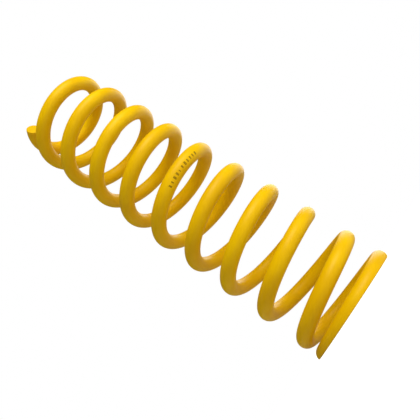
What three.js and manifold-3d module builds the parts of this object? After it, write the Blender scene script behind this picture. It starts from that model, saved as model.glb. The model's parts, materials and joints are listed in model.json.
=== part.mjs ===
// Helical compression spring: one round steel wire, coiled right-handed about +Z.
// It stands on its ground end, with the foot of its axis at the origin. Millimetres.
// The wire is divided along its length into short bars that slide on each other along Z,
// which is how the coils close up when the spring is compressed.
import * as THREE from 'three';
import { mergeVertices } from 'three/addons/utils/BufferGeometryUtils.js';
import Module from 'manifold-3d';

// wire and coil
const wireDiameter = 11.5;
const boreDiameter = 63.5; // clear inside diameter of the parallel coils
const totalTurns = 10.12;
const activePitch = 32.0; // rise per turn of the open coils
const coilTouchGap = 0.3; // air between the turns where the upper end is wound closed

// lower end: wound flat and ground
const lowerEndPitch = 9.5; // rise per turn of the flat end coil
const lowerClosedTurns = 0.5;
const lowerTransitionTurns = 0.55;
const lowerTipThickness = 5.0; // height of metal that grinding leaves at the wire's tip

// upper end: closed gradually and drawn in, with a plain cut tip
const upperClosedTurns = 0.05;
const upperTransitionTurns = 1.45;
const upperTaper = 5.4; // how much smaller the mean radius is at the upper tip
const upperTaperTurns = 1.5;

// how the wire is divided
const barsPerTurn = 4;
const barGap = 0.3; // slot between the end faces of neighbouring bars
const lowerEndBars = 3; // bars in the closed lower end coil
const upperEndBars = 2; // bars in the drawn-in upper end coil
const wireSides = 12;
const stepsPerBar = 6;

const wireRadius = wireDiameter / 2;
const meanRadius = (boreDiameter + wireDiameter) / 2;
const closedPitch = wireDiameter + coilTouchGap;
const barCount = Math.round(totalTurns * barsPerTurn);
const barTurns = totalTurns / barCount;

const yellowCoat = { color: 0xe6b41a, roughness: 0.4, metalness: 0.0 };

// 0 to 1 with level ends
function easeStep(u) {
  const c = THREE.MathUtils.clamp(u, 0, 1);
  return c * c * (3 - 2 * c);
}

// running integral of easeStep from 0
function easeArea(u) {
  const c = THREE.MathUtils.clamp(u, 0, 1);
  return c ** 3 - c ** 4 / 2 + Math.max(u - 1, 0);
}

// turns of fully closed winding that an end has given up to s turns from its tip
function closedShare(s, closedTurns, transitionTurns) {
  return s - transitionTurns * easeArea((s - closedTurns) / transitionTurns);
}

function lowerShare(t) {
  return closedShare(t, lowerClosedTurns, lowerTransitionTurns);
}

function upperShare(t) {
  const whole = closedShare(totalTurns, upperClosedTurns, upperTransitionTurns);
  return whole - closedShare(totalTurns - t, upperClosedTurns, upperTransitionTurns);
}

// height of the wire's centre, t turns from the lower tip
function wireHeight(t) {
  const tipHeight = lowerTipThickness - wireRadius;
  const lowerLoss = (activePitch - lowerEndPitch) * lowerShare(t);
  const upperLoss = (activePitch - closedPitch) * upperShare(t);
  return tipHeight + activePitch * t - lowerLoss - upperLoss;
}

// radius of the wire's centre, t turns from the lower tip
function coilRadius(t) {
  return meanRadius - upperTaper * (1 - easeStep((totalTurns - t) / upperTaperTurns));
}

// how much taller the round wire is in a plane through the coil's axis, where it is cut on a slant
function slantFactor(t) {
  const dt = 1e-4;
  const rise = (wireHeight(t + dt) - wireHeight(t - dt)) / (2 * dt);
  return Math.hypot(1, rise / (2 * Math.PI * coilRadius(t)));
}

// a straight round bar bent onto the helix between two places on the wire, in turns
function bentBar(tStart, tEnd) {
  const bar = new THREE.CylinderGeometry(wireRadius, wireRadius, 1, wireSides, stepsPerBar);
  const points = bar.getAttribute('position');
  for (let i = 0; i < points.count; i += 1) {
    const t = tStart + (points.getY(i) + 0.5) * (tEnd - tStart);
    const angle = 2 * Math.PI * t;
    const radius = coilRadius(t) + points.getX(i);
    const height = wireHeight(t) + points.getZ(i) * slantFactor(t);
    points.setXYZ(i, radius * Math.cos(angle), radius * Math.sin(angle), height);
  }
  bar.deleteAttribute('normal');
  bar.deleteAttribute('uv');
  return mergeVertices(bar, 1e-5);
}

const wasm = await Module();
wasm.setup();

function toSolid(geometry) {
  const vertProperties = Float32Array.from(geometry.getAttribute('position').array);
  const triVerts = Uint32Array.from(geometry.index.array);
  return new wasm.Manifold(new wasm.Mesh({ numProp: 3, vertProperties, triVerts }));
}

function toGeometry(solid) {
  const mesh = solid.getMesh();
  const geometry = new THREE.BufferGeometry();
  geometry.setAttribute('position', new THREE.BufferAttribute(mesh.vertProperties, 3));
  geometry.setIndex(new THREE.BufferAttribute(mesh.triVerts, 1));
  return geometry;
}

// everything that the grinding wheel takes off below the seat plane
function grindingBlock() {
  const width = 4 * (meanRadius + wireDiameter);
  const depth = 4 * wireDiameter;
  const block = new THREE.BoxGeometry(width, width, depth);
  block.translate(0, 0, -depth / 2);
  block.deleteAttribute('normal');
  block.deleteAttribute('uv');
  return toSolid(mergeVertices(block, 1e-5));
}

const belowSeat = grindingBlock();

function groundFlat(geometry) {
  geometry.computeBoundingBox();
  if (geometry.boundingBox.min.z >= 0) {
    return geometry;
  }
  return toGeometry(toSolid(geometry).subtract(belowSeat));
}

// bars are named from the bottom up: lower end coil, the open coils by turn and quarter, upper end coil
function barName(index) {
  if (index < lowerEndBars) {
    return `lower_end_coil_${index + 1}`;
  }
  if (index >= barCount - upperEndBars) {
    return `upper_end_coil_${index - (barCount - upperEndBars) + 1}`;
  }
  const place = index - lowerEndBars;
  const coil = String(Math.floor(place / barsPerTurn) + 1).padStart(2, '0');
  return `coil_${coil}_quarter_${(place % barsPerTurn) + 1}`;
}

const halfSlot = barGap / 2 / (2 * Math.PI * meanRadius);

function springBar(index) {
  const tStart = index * barTurns + (index === 0 ? 0 : halfSlot);
  const tEnd = (index + 1) * barTurns - (index === barCount - 1 ? 0 : halfSlot);
  const mesh = new THREE.Mesh(groundFlat(bentBar(tStart, tEnd)));
  mesh.material = new THREE.MeshStandardMaterial(yellowCoat);
  mesh.name = barName(index);
  return mesh;
}

const spring = new THREE.Group();
for (let index = 0; index < barCount; index += 1) {
  spring.add(springBar(index));
}

export default spring;
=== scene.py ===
import bpy
import json
import numpy as np
from mathutils import Matrix, Vector

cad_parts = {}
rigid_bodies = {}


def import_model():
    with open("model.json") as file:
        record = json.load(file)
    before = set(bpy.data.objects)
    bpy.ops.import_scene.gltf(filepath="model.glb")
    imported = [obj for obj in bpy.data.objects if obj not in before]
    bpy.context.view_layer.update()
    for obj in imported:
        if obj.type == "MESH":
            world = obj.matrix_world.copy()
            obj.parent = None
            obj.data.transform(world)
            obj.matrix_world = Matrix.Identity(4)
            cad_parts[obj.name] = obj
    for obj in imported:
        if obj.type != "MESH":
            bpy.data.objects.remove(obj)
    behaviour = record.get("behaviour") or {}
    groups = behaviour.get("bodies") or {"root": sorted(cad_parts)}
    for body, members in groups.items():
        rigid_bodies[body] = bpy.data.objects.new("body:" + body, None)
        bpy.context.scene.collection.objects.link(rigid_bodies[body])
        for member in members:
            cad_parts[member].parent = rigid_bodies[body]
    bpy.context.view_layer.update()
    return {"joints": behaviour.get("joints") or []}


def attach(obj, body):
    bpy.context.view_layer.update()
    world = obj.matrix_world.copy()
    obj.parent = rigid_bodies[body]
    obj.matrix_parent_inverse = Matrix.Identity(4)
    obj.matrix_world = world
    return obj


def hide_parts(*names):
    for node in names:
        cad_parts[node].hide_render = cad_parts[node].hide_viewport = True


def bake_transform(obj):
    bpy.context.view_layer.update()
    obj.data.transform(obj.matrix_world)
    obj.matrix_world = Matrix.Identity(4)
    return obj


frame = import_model()
mm = 0.001  # the wire's path is worked out in millimetres, the meshes are in metres

# the path of the wire's centre: what a spring maker would ask for
coil = {
    "wireDiameter": 11.5,
    "boreDiameter": 63.5,
    "turns": 10.12,
    "pitch": 32.0,          # rise of one open turn
    "touchGap": 0.3,        # air between the turns at the top, wound closed
    "footPitch": 9.5,       # the end coil is wound flatter
    "footClosedTurns": 0.5,
    "footOpeningTurns": 0.55,
    "footTipThickness": 5.0,  # what grinding leaves at the tip
    "topClosedTurns": 0.05,
    "topOpeningTurns": 1.45,
    "topDrawIn": 5.4,       # the last turn is wound this much smaller in radius
    "topDrawInTurns": 1.5,
}
wireRadius = coil["wireDiameter"] / 2
meanRadius = (coil["boreDiameter"] + coil["wireDiameter"]) / 2
closedPitch = coil["wireDiameter"] + coil["touchGap"]


# 3u^2 - 2u^3 between 0 and 1, level outside
def easeStep(u):
    c = np.clip(u, 0, 1)
    return c * c * (3 - 2 * c)


# the running integral of easeStep: u^3 - u^4/2, then a straight line of slope 1
def easeArea(u):
    c = np.clip(u, 0, 1)
    return c ** 3 - c ** 4 / 2 + np.maximum(u - 1, 0)


# turns of closed winding in the first s turns from a tip: s less the part already opened
def closedShare(s, closedTurns, openingTurns):
    return s - openingTurns * easeArea((s - closedTurns) / openingTurns)


# height = tip height + pitch * t, less what the two closed ends hold back
def wireHeight(t):
    foot = closedShare(t, coil["footClosedTurns"], coil["footOpeningTurns"])
    whole = closedShare(coil["turns"], coil["topClosedTurns"], coil["topOpeningTurns"])
    top = whole - closedShare(coil["turns"] - t, coil["topClosedTurns"], coil["topOpeningTurns"])
    heldBack = (coil["pitch"] - coil["footPitch"]) * foot + (coil["pitch"] - closedPitch) * top
    return coil["footTipThickness"] - wireRadius + coil["pitch"] * t - heldBack


# radius = mean radius, eased down by topDrawIn over the last turns
def coilRadius(t):
    return meanRadius - coil["topDrawIn"] * (1 - easeStep((coil["turns"] - t) / coil["topDrawInTurns"]))


# the centre line: (radius cos a, radius sin a, height) with a = one full circle per turn
def centreLine(t):
    angle = 2 * np.pi * t
    return np.stack([coilRadius(t) * np.cos(angle), coilRadius(t) * np.sin(angle), wireHeight(t)], -1)


# three unit directions at each t: along the wire (slope of the centre line),
# out from the coil's axis squared to it, and the cross product of the two, which looks up
def wireDirections(t):
    dt = 1e-4  # turns, a small step for the slope
    along = centreLine(t + dt) - centreLine(t - dt)
    along /= np.linalg.norm(along, axis=-1, keepdims=True)
    angle = 2 * np.pi * t
    out = np.stack([np.cos(angle), np.sin(angle), np.zeros_like(angle)], -1)
    out -= (out * along).sum(-1, keepdims=True) * along
    out /= np.linalg.norm(out, axis=-1, keepdims=True)
    return along, out, np.cross(out, along)


wireMesh = {
    "ringsPerTurn": 144,
    "sides": 72,
    "footSides": 27,        # how many of them lie across the ground face of the foot
    "cornerRadius": 0.45,   # rounding of the coated edge of a cut end, mm
    "cornerRings": 5,
    "edgeBreak": 0.35,      # width of the broken edge round the ground face, mm
    "edgeShare": 0.3,       # and at most this share of half the face, where it narrows to nothing
    "fadeAngle": 10.0,      # half the angle, in degrees, that footSides span just past the ground face
    "fadeTurns": 0.15,      # how far it takes them to spread out evenly
}
evenStep = 2 * np.pi / wireMesh["sides"]
evenHalf = (wireMesh["footSides"] - 1) / 2 * evenStep


# the first place where the lowest point of the round section, centre height - r up_z, clears z = 0
def groundFaceEnd():
    t = np.linspace(0, 1.5, 3001)  # fine steps over the first turn and a half
    _, _, up = wireDirections(t)
    return t[np.argmax(wireHeight(t) - wireRadius * up[:, 2] > 0)]


groundEnd = groundFaceEnd()


# the section of the wire at each ring: a circle of r = wire radius - inset, whose points are
# (r cos a, r sin a) out and up from its centre. Where the seat plane, at y = level, cuts it, the
# first footSides points run straight across there and the others share the arc above. Past the
# ground face those points spread out, by easeStep, until all the steps are even
def wireSection(t, inset, centreHeight, upRise):
    radius = (wireRadius - inset)[:, None]
    level = ((inset - centreHeight) / upRise)[:, None]
    cut = level > -radius
    faceHalf = np.pi / 2 + np.arcsin(np.clip(level / radius, -1, 1))
    halfWidth = radius * np.sin(faceHalf)
    broken = np.minimum(wireMesh["edgeBreak"], wireMesh["edgeShare"] * halfWidth)
    fade = easeStep((t - groundEnd) / wireMesh["fadeTurns"])[:, None]
    narrow = np.radians(wireMesh["fadeAngle"])
    half = np.where(cut, faceHalf, narrow + (evenHalf - narrow) * fade)
    narrowStep = wireMesh["edgeShare"] * narrow
    step = np.where(cut, broken / radius, narrowStep + (evenStep - narrowStep) * fade)
    across = np.linspace(-1, 1, wireMesh["footSides"])
    over = np.linspace(0, 1, wireMesh["sides"] - wireMesh["footSides"])
    fromBottom = np.concatenate([half * across, half + step + 2 * (np.pi - half - step) * over], 1)
    angle = 1.5 * np.pi + fromBottom
    x, y = radius * np.cos(angle), radius * np.sin(angle)
    onFace = cut & (np.arange(wireMesh["sides"]) < wireMesh["footSides"])
    straight = np.concatenate([(halfWidth - broken) * across, np.zeros((len(t), len(over)))], 1)
    return np.where(onFace, straight, x), np.where(onFace, level, y), angle, onFace


# a surface point: centre + x * out + y * up, the centre moved along the wire by shift. The normal
# is the ray from the centre, or straight down on the ground face, leaned along the wire by lean
def wireSurface(t, inset, shift, lean):
    along, out, up = wireDirections(t)
    centre = centreLine(t) + shift[:, None] * along
    x, y, angle, onFace = wireSection(t, inset, centre[:, 2], up[:, 2])
    points = centre[:, None] + x[..., None] * out[:, None] + y[..., None] * up[:, None]
    ray = np.cos(angle)[..., None] * out[:, None] + np.sin(angle)[..., None] * up[:, None]
    ray[onFace] = (0, 0, -1)
    normals = np.cos(lean)[:, None, None] * ray + np.sin(lean)[:, None, None] * along[:, None]
    return points, normals, angle


# the rings of one length of wire, evenly spaced in t. A cut end that shows has a rounded corner:
# over a quarter circle the section is inset by c (1 - cos a) and set back by c (1 - sin a)
def wireRings(tStart, tEnd, roundStart, roundEnd):
    corner = wireMesh["cornerRadius"]
    back = corner / (2 * np.pi * meanRadius)
    count = max(4, round((tEnd - tStart) * wireMesh["ringsPerTurn"]))
    t = np.linspace(tStart + back * roundStart, tEnd - back * roundEnd, count + 1)
    a = np.linspace(0, np.pi / 2, wireMesh["cornerRings"] + 1)[1:]
    first, last = (a[::-1] if roundStart else a[:0]), (a if roundEnd else a[:0])
    turn = np.concatenate([np.full(len(first), tStart), t, np.full(len(last), tEnd)])
    lean = np.concatenate([-first, np.zeros(len(t)), last])
    inset = corner * (1 - np.cos(lean))
    shift = corner * np.concatenate([1 - np.sin(first), np.zeros(len(t)), np.sin(last) - 1])
    return turn, inset, shift, lean


# quads between neighbouring rings, closed around, and a fan to a middle point at each end
def tubeFaces(rings, sides):
    r, s = np.meshgrid(np.arange(rings - 1), np.arange(sides), indexing="ij")
    n = (s + 1) % sides
    quads = np.stack([r * sides + s, (r + 1) * sides + s, (r + 1) * sides + n, r * sides + n], -1)
    s = np.arange(sides)
    n = (s + 1) % sides
    middle, base = rings * sides, (rings - 1) * sides
    startFan = np.stack([np.full(sides, middle), s, n], -1)
    endFan = np.stack([np.full(sides, middle + 1), base + n, base + s], -1)
    return quads.reshape(-1, 4), startFan, endFan


# puts whole arrays into a mesh: points, quads and triangles, a normal at every corner,
# and the place along and around the wire as attributes
def meshFromArrays(name, points, quads, triangles, cornerNormals, attributes):
    mesh = bpy.data.meshes.new(name)
    mesh.vertices.add(len(points))
    mesh.vertices.foreach_set("co", (points * mm).astype(np.float32).ravel())
    corners = np.concatenate([quads.ravel(), triangles.ravel()])
    triangleStarts = quads.size + np.arange(len(triangles)) * 3
    starts = np.concatenate([np.arange(len(quads)) * 4, triangleStarts])
    mesh.loops.add(len(corners))
    mesh.loops.foreach_set("vertex_index", corners.astype(np.int32))
    mesh.polygons.add(len(starts))
    mesh.polygons.foreach_set("loop_start", starts.astype(np.int32))
    mesh.update(calc_edges=True)
    mesh.shade_smooth()
    for key, values in attributes.items():
        attribute = mesh.attributes.new(key, "FLOAT", "POINT")
        attribute.data.foreach_set("value", values.astype(np.float32))
    mesh.normals_split_custom_set(cornerNormals.tolist())
    thing = bpy.data.objects.new(name, mesh)
    bpy.context.scene.collection.objects.link(thing)
    return thing


# one length of wire as a closed piece: rings, and at each end a flat cap that faces along the wire
def makeWire(name, tStart, tEnd, roundStart=False, roundEnd=False):
    t, inset, shift, lean = wireRings(tStart, tEnd, roundStart, roundEnd)
    points, normals, angle = wireSurface(t, inset, shift, lean)
    rings, sides = angle.shape
    quads, startFan, endFan = tubeFaces(rings, sides)
    middles = points[[0, -1]].mean(1)
    allPoints = np.concatenate([points.reshape(-1, 3), middles])
    along, _, _ = wireDirections(np.array([tStart, tEnd]))
    quadNormals = normals.reshape(-1, 3)[quads.ravel()]
    quadNormals /= np.linalg.norm(quadNormals, axis=1, keepdims=True)
    capNormals = np.repeat([-along[0], along[1]], startFan.size, axis=0)
    turnLength = 2 * np.pi * meanRadius * mm
    alongWire = np.concatenate([np.repeat(t, sides), [tStart, tEnd]]) * turnLength
    aroundWire = np.append(angle.ravel(), [0.0, 0.0]) * wireRadius * mm
    return meshFromArrays(name, allPoints, quads, np.concatenate([startFan, endFan]),
                          np.concatenate([quadNormals, capNormals]),
                          {"alongWire": alongWire, "aroundWire": aroundWire})


# sRGB hex to linear: c/12.92 below 0.04045, else ((c + 0.055)/1.055)^2.4
def linear(hexColour):
    c = np.array([int(hexColour[i:i + 2], 16) for i in (0, 2, 4)]) / 255
    lin = np.where(c <= 0.04045, c / 12.92, ((c + 0.055) / 1.055) ** 2.4)
    return (*[float(x) for x in lin], 1.0)


# adds a node, sets its properties, its sockets' values and its links; returns it
def addNode(tree, kind, settings=None, values=None, links=None):
    node = tree.nodes.new(kind)
    for key, value in (settings or {}).items():
        setattr(node, key, value)
    for key, value in (values or {}).items():
        node.inputs[key].default_value = value
    for key, (source, socket) in (links or {}).items():
        tree.links.new(source.outputs[socket], node.inputs[key])
    return node


powder = {
    "yellow": "F0CC00",       # full film
    "deepYellow": "E6BD00",   # where the film is a little thicker
    "cloudMm": 34.0,          # slow change in film thickness along the wire
    "cloudEdges": (0.35, 0.65),
    "roughness": (0.37, 0.45),  # smoothest and roughest
    "speckMm": 0.45,          # grain of the roughness
    "speckEdges": (0.3, 0.7),
    "ior": 1.5,
    "specular": 0.2,          # a pigmented polyester film is less glossy than clear coat
    "orangePeelMm": 1.9,      # waviness of a sprayed and baked powder film
    "orangePeelHeight": 0.012,
    "orangePeelStrength": 0.6,
}

inkRow = {  # a plain row of uneven ink blocks along one open turn, in mm along and around the wire
    "start": 1236.5,
    "around": 32.6,           # middle of the row
    "pitch": 3.0,
    "count": 11,
    "width": (0.24, 0.54),    # narrowest and widest block, as a share of the pitch
    "halfHeight": (0.986, 1.45),  # lowest and tallest block, from the middle of the row
    "ink": "4A3408",
    "strength": 0.75,
    "mottleMm": 0.714,        # the ink takes unevenly
    "mottleEdges": (0.3, 0.55),
    "thinnest": 0.45,         # share of the ink that is left where it is thin
}

scuffs = {  # the ground face of the foot, rubbed by its seat
    "heightMm": (0.25, 0.075),  # scuffs begin this close to the seat plane, and are full here
    "patchMm": 3.2,
    "rubbed": "C09C2C",
    "rubbedEdges": (0.5, 0.75),
    "steel": "8D8A84",
    "steelEdges": (0.68, 0.72),
    "steelRoughness": 0.6,
}


# 1 inside the ink blocks, 0 outside. The place along the wire is counted in cells of one pitch, and
# each cell is filled for a random share of its width and of the row's height; the product of the
# tests along, around, at the row's two ends and of the mottled film is the mask
def inkMask(tree, place):
    along = addNode(tree, "ShaderNodeAttribute", {"attribute_name": "alongWire"})
    around = addNode(tree, "ShaderNodeAttribute", {"attribute_name": "aroundWire"})
    rowEnd = inkRow["start"] + inkRow["pitch"]
    cell = addNode(tree, "ShaderNodeMapRange", {"clamp": False},
                   {"From Min": inkRow["start"] * mm, "From Max": rowEnd * mm},
                   {"Value": (along, "Fac")})
    number = addNode(tree, "ShaderNodeMath", {"operation": "FLOOR"}, links={0: (cell, "Result")})
    chance = addNode(tree, "ShaderNodeTexWhiteNoise", {"noise_dimensions": "1D"},
                     links={"W": (number, "Value")})
    width = addNode(tree, "ShaderNodeMapRange",
                    values={"To Min": inkRow["width"][0], "To Max": inkRow["width"][1]},
                    links={"Value": (chance, "Value")})
    within = addNode(tree, "ShaderNodeMath", {"operation": "FRACT"}, links={0: (cell, "Result")})
    filled = addNode(tree, "ShaderNodeMath", {"operation": "LESS_THAN"},
                     links={0: (within, "Value"), 1: (width, "Result")})
    begun = addNode(tree, "ShaderNodeMath", {"operation": "GREATER_THAN"}, {1: 0.0},
                    {0: (cell, "Result")})
    notOver = addNode(tree, "ShaderNodeMath", {"operation": "LESS_THAN"}, {1: float(inkRow["count"])},
                      {0: (cell, "Result")})
    offMiddle = addNode(tree, "ShaderNodeMath", {"operation": "SUBTRACT"}, {1: inkRow["around"] * mm},
                        {0: (around, "Fac")})
    distance = addNode(tree, "ShaderNodeMath", {"operation": "ABSOLUTE"},
                       links={0: (offMiddle, "Value")})
    reach = addNode(tree, "ShaderNodeMapRange",
                    values={"To Min": inkRow["halfHeight"][0] * mm, "To Max": inkRow["halfHeight"][1] * mm},
                    links={"Value": (chance, "Value")})
    inHeight = addNode(tree, "ShaderNodeMath", {"operation": "LESS_THAN"},
                       links={0: (distance, "Value"), 1: (reach, "Result")})
    mottle = addNode(tree, "ShaderNodeTexNoise",
                     values={"Scale": 1000 / inkRow["mottleMm"], "Detail": 1.0},
                     links={"Vector": (place, "Object")})
    thin = inkRow["thinnest"] * inkRow["strength"]
    film = addNode(tree, "ShaderNodeMapRange",
                   values={"From Min": inkRow["mottleEdges"][0], "From Max": inkRow["mottleEdges"][1],
                           "To Min": thin, "To Max": inkRow["strength"]},
                   links={"Value": (mottle, "Fac")})
    mask = (film, "Result")
    for test in (filled, inHeight, begun, notOver):
        product = addNode(tree, "ShaderNodeMath", {"operation": "MULTIPLY"},
                          links={0: mask, 1: (test, "Value")})
        mask = (product, "Value")
    return mask


# how close a place is to the seat plane, from 0 to 1, times a noise of patchMm read between two edges
def scuffMask(tree, place, edges):
    height = addNode(tree, "ShaderNodeSeparateXYZ", links={"Vector": (place, "Object")})
    begin, full = scuffs["heightMm"]
    onFace = addNode(tree, "ShaderNodeMapRange", values={"From Min": begin * mm, "From Max": full * mm},
                     links={"Value": (height, "Z")})
    patch = addNode(tree, "ShaderNodeTexNoise", values={"Scale": 1000 / scuffs["patchMm"], "Detail": 4.0},
                    links={"Vector": (place, "Object")})
    worn = addNode(tree, "ShaderNodeMapRange", values={"From Min": edges[0], "From Max": edges[1]},
                   links={"Value": (patch, "Fac")})
    both = addNode(tree, "ShaderNodeMath", {"operation": "MULTIPLY"},
                   links={0: (onFace, "Result"), 1: (worn, "Result")})
    return both, "Value"


# Polyester powder coat on spring steel: sprayed dry, baked and flowed out. It gives a strong, even
# yellow with a soft semi-gloss highlight, a faint orange peel, and scuffs where the foot is ground.
def makePowderCoat():
    material = bpy.data.materials.new("powderCoatYellow")
    material.use_nodes = True
    tree = material.node_tree
    tree.nodes.clear()
    place = addNode(tree, "ShaderNodeTexCoord")
    cloud = addNode(tree, "ShaderNodeTexNoise",
                    values={"Scale": 1000 / powder["cloudMm"], "Detail": 3.0, "Roughness": 0.5},
                    links={"Vector": (place, "Object")})
    peel = addNode(tree, "ShaderNodeTexNoise",
                   values={"Scale": 1000 / powder["orangePeelMm"], "Detail": 1.5, "Roughness": 0.4},
                   links={"Vector": (place, "Object")})
    speck = addNode(tree, "ShaderNodeTexNoise",
                    values={"Scale": 1000 / powder["speckMm"], "Detail": 2.0},
                    links={"Vector": (place, "Object")})
    thickness = addNode(tree, "ShaderNodeMapRange",
                        values={"From Min": powder["cloudEdges"][0], "From Max": powder["cloudEdges"][1]},
                        links={"Value": (cloud, "Fac")})
    film = addNode(tree, "ShaderNodeMix", {"data_type": "RGBA"},
                   {"A": linear(powder["yellow"]), "B": linear(powder["deepYellow"])},
                   {"Factor": (thickness, "Result")})
    rubbed = addNode(tree, "ShaderNodeMix", {"data_type": "RGBA"}, {"B": linear(scuffs["rubbed"])},
                     {"Factor": scuffMask(tree, place, scuffs["rubbedEdges"]), "A": (film, "Result")})
    bare = scuffMask(tree, place, scuffs["steelEdges"])
    worn = addNode(tree, "ShaderNodeMix", {"data_type": "RGBA"}, {"B": linear(scuffs["steel"])},
                   {"Factor": bare, "A": (rubbed, "Result")})
    colour = addNode(tree, "ShaderNodeMix", {"data_type": "RGBA"}, {"B": linear(inkRow["ink"])},
                     {"Factor": inkMask(tree, place), "A": (worn, "Result")})
    grain = addNode(tree, "ShaderNodeMapRange",
                    values={"From Min": powder["speckEdges"][0], "From Max": powder["speckEdges"][1],
                            "To Min": powder["roughness"][0], "To Max": powder["roughness"][1]},
                    links={"Value": (speck, "Fac")})
    rough = addNode(tree, "ShaderNodeMix", {"data_type": "FLOAT"}, {"B": scuffs["steelRoughness"]},
                    {"Factor": bare, "A": (grain, "Result")})
    bump = addNode(tree, "ShaderNodeBump",
                   values={"Strength": powder["orangePeelStrength"],
                           "Distance": powder["orangePeelHeight"] * mm},
                   links={"Height": (peel, "Fac")})
    shader = addNode(tree, "ShaderNodeBsdfPrincipled",
                     values={"IOR": powder["ior"], "Specular IOR Level": powder["specular"]},
                     links={"Base Color": (colour, "Result"), "Roughness": (rough, "Result"),
                            "Normal": (bump, "Normal")})
    addNode(tree, "ShaderNodeOutputMaterial", links={"Surface": (shader, "BSDF")})
    return material


powderCoat = makePowderCoat()
print("material made")

# how the wire is divided: the bodies in order from the foot, and the turns where neighbours meet
division = {
    "bars": 40,
    "footBars": 3,
    "blendInset": 0.05,   # share of the way that stays with each body, so that seams match closely
}
barTurns = coil["turns"] / division["bars"]
childOf = {joint["parent"]: joint["child"] for joint in frame["joints"]}
bodyOrder = ["lower_end_coil"]
while bodyOrder[-1] in childOf:
    bodyOrder.append(childOf[bodyOrder[-1]])


# the middle of the last bar of the foot, then of each bar after it; lengths of wire meet there
def middleTurn(index):
    return (division["footBars"] - 0.5 + index) * barTurns


# the same coat for every piece
def dress(piece):
    piece.data.materials.append(powderCoat)


# the foot, with its tip cut and ground
foot = makeWire("wire_foot", 0.0, middleTurn(0), roundStart=True)
dress(foot)
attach(foot, "lower_end_coil")
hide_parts(*[f"lower_end_coil_{i + 1}" for i in range(division["footBars"])])

# each length runs from the middle of one body to the middle of the next
for index in range(len(bodyOrder) - 1):
    lowerBody, upperBody = bodyOrder[index], bodyOrder[index + 1]
    tStart, tEnd = middleTurn(index), middleTurn(index + 1)
    length = makeWire(f"wire_length_{index + 1:02d}", tStart, tEnd)
    dress(length)
    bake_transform(length)
    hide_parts("upper_end_coil_1" if upperBody == "upper_end_coil" else upperBody)

# the top, drawn in, with a plain cut tip
tip = makeWire("wire_top", middleTurn(len(bodyOrder) - 1), coil["turns"], roundEnd=True)
dress(tip)
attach(tip, "upper_end_coil")
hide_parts("upper_end_coil_2")
print("wire made in", len(bodyOrder) + 1, "lengths")

studio = {
    "floorSize": 6.0,        # half the width, m
    "floorDrop": 0.0002,     # just clear of the ground face, m
    "floorColour": "DCDCDC",
    "floorRoughness": 0.9,
    "floorSpecular": 0.1,
    "floorGlow": 1.4,        # how bright the table looks by itself, so that no edge shows at the walls
    "floorLight": 0.05,      # how much of that glow lights the spring
    "wallColour": "FFFFFF",  # what the walls look like
    "wallGlow": 1.0,
    "wallLightColour": "FFDE80",  # and the dimmer, warmer light that they throw on the spring
    "wallLight": 0.24,
}


# a plain pale table, one flat square
def makeTable():
    half, height = studio["floorSize"], -studio["floorDrop"]
    mesh = bpy.data.meshes.new("floor")
    corners = [(-half, -half, height), (half, -half, height), (half, half, height), (-half, half, height)]
    mesh.from_pydata(corners, [], [(0, 1, 2, 3)])
    floor = bpy.data.objects.new("floor", mesh)
    bpy.context.scene.collection.objects.link(floor)
    material = bpy.data.materials.new("whiteTable")
    material.use_nodes = True
    tree = material.node_tree
    shader = tree.nodes["Principled BSDF"]
    shader.inputs["Base Color"].default_value = linear(studio["floorColour"])
    shader.inputs["Roughness"].default_value = studio["floorRoughness"]
    shader.inputs["Specular IOR Level"].default_value = studio["floorSpecular"]
    shader.inputs["Emission Color"].default_value = linear(studio["floorColour"])
    path = addNode(tree, "ShaderNodeLightPath")
    glow = addNode(tree, "ShaderNodeMapRange",
                   values={"To Min": studio["floorLight"], "To Max": studio["floorGlow"]},
                   links={"Value": (path, "Is Camera Ray")})
    tree.links.new(glow.outputs["Result"], shader.inputs["Emission Strength"])
    mesh.materials.append(material)


# white walls all round, seen at wallGlow and lighting the spring at wallLight
def makeWalls():
    world = bpy.data.worlds.new("whiteRoom")
    bpy.context.scene.world = world
    world.use_nodes = True
    tree = world.node_tree
    tree.nodes.clear()
    path = addNode(tree, "ShaderNodeLightPath")
    strength = addNode(tree, "ShaderNodeMapRange",
                       values={"To Min": studio["wallLight"], "To Max": studio["wallGlow"]},
                       links={"Value": (path, "Is Camera Ray")})
    tint = addNode(tree, "ShaderNodeMix", {"data_type": "RGBA"},
                   {"A": linear(studio["wallLightColour"]), "B": linear(studio["wallColour"])},
                   {"Factor": (path, "Is Camera Ray")})
    walls = addNode(tree, "ShaderNodeBackground",
                    links={"Color": (tint, "Result"), "Strength": (strength, "Result")})
    addNode(tree, "ShaderNodeOutputWorld", links={"Surface": (walls, "Background")})


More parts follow.
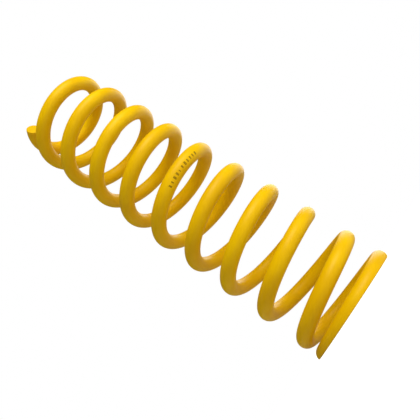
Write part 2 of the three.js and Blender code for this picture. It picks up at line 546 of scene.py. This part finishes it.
# place in m, size in m, power in W; without shine a light shows no reflection in the coat
softLights = [
    {"name": "keyLight", "place": (-1.0, 0.89, 0.72), "size": 0.9,
     "power": 20.5, "colour": "FFF4CC", "shine": True},
    {"name": "fillLight", "place": (0.9, 0.7, 0.8), "size": 1.0,
     "power": 0.5, "colour": "FFFFFF", "shine": False},
    {"name": "rimLight", "place": (-0.62, -1.05, 0.4), "size": 0.8,
     "power": 4.8, "colour": "FFFFFF", "shine": True},
    {"name": "sideLight", "place": (1.3, -0.1, 0.7), "size": 0.7,
     "power": 2.2, "colour": "FFFFFF", "shine": False},
]
lightAim = Vector((0, 0, 0.15))  # the middle of the spring


# an area light that faces lightAim
def makeLight(spec):
    light = bpy.data.lights.new(spec["name"], "AREA")
    light.size = spec["size"]
    light.energy = spec["power"]
    light.color = linear(spec["colour"])[:3]
    lamp = bpy.data.objects.new(spec["name"], light)
    bpy.context.scene.collection.objects.link(lamp)
    lamp.visible_glossy = spec["shine"]
    lamp.location = spec["place"]
    lamp.rotation_euler = (lightAim - Vector(spec["place"])).to_track_quat("-Z", "Y").to_euler()


makeTable()
makeWalls()
for spec in softLights:
    makeLight(spec)
print("studio made")

cameraView = {
    "place": (-8.66, 354.03, 5.69),   # mm
    "aim": (-1.19, -0.77, 126.88),
    "roll": -56.54,                   # degrees
    "lens": 41.4,                     # mm, on a sensor this wide
    "sensor": 36.0,
    "clip": (0.01, 50.0),             # m
}


# a camera that looks from place to aim, then turns about that line by roll
def makeCamera():
    data = bpy.data.cameras.new("camera")
    data.sensor_width = cameraView["sensor"]
    data.lens = cameraView["lens"]
    data.clip_start, data.clip_end = cameraView["clip"]
    camera = bpy.data.objects.new("camera", data)
    bpy.context.scene.collection.objects.link(camera)
    place, aim = Vector(cameraView["place"]) * mm, Vector(cameraView["aim"]) * mm
    turn = (aim - place).to_track_quat("-Z", "Y").to_matrix().to_4x4()
    roll = Matrix.Rotation(np.radians(cameraView["roll"]), 4, "Z")
    camera.matrix_world = Matrix.Translation(place) @ turn @ roll
    bpy.context.scene.camera = camera


makeCamera()
bpy.context.scene.view_settings.view_transform = "Standard"
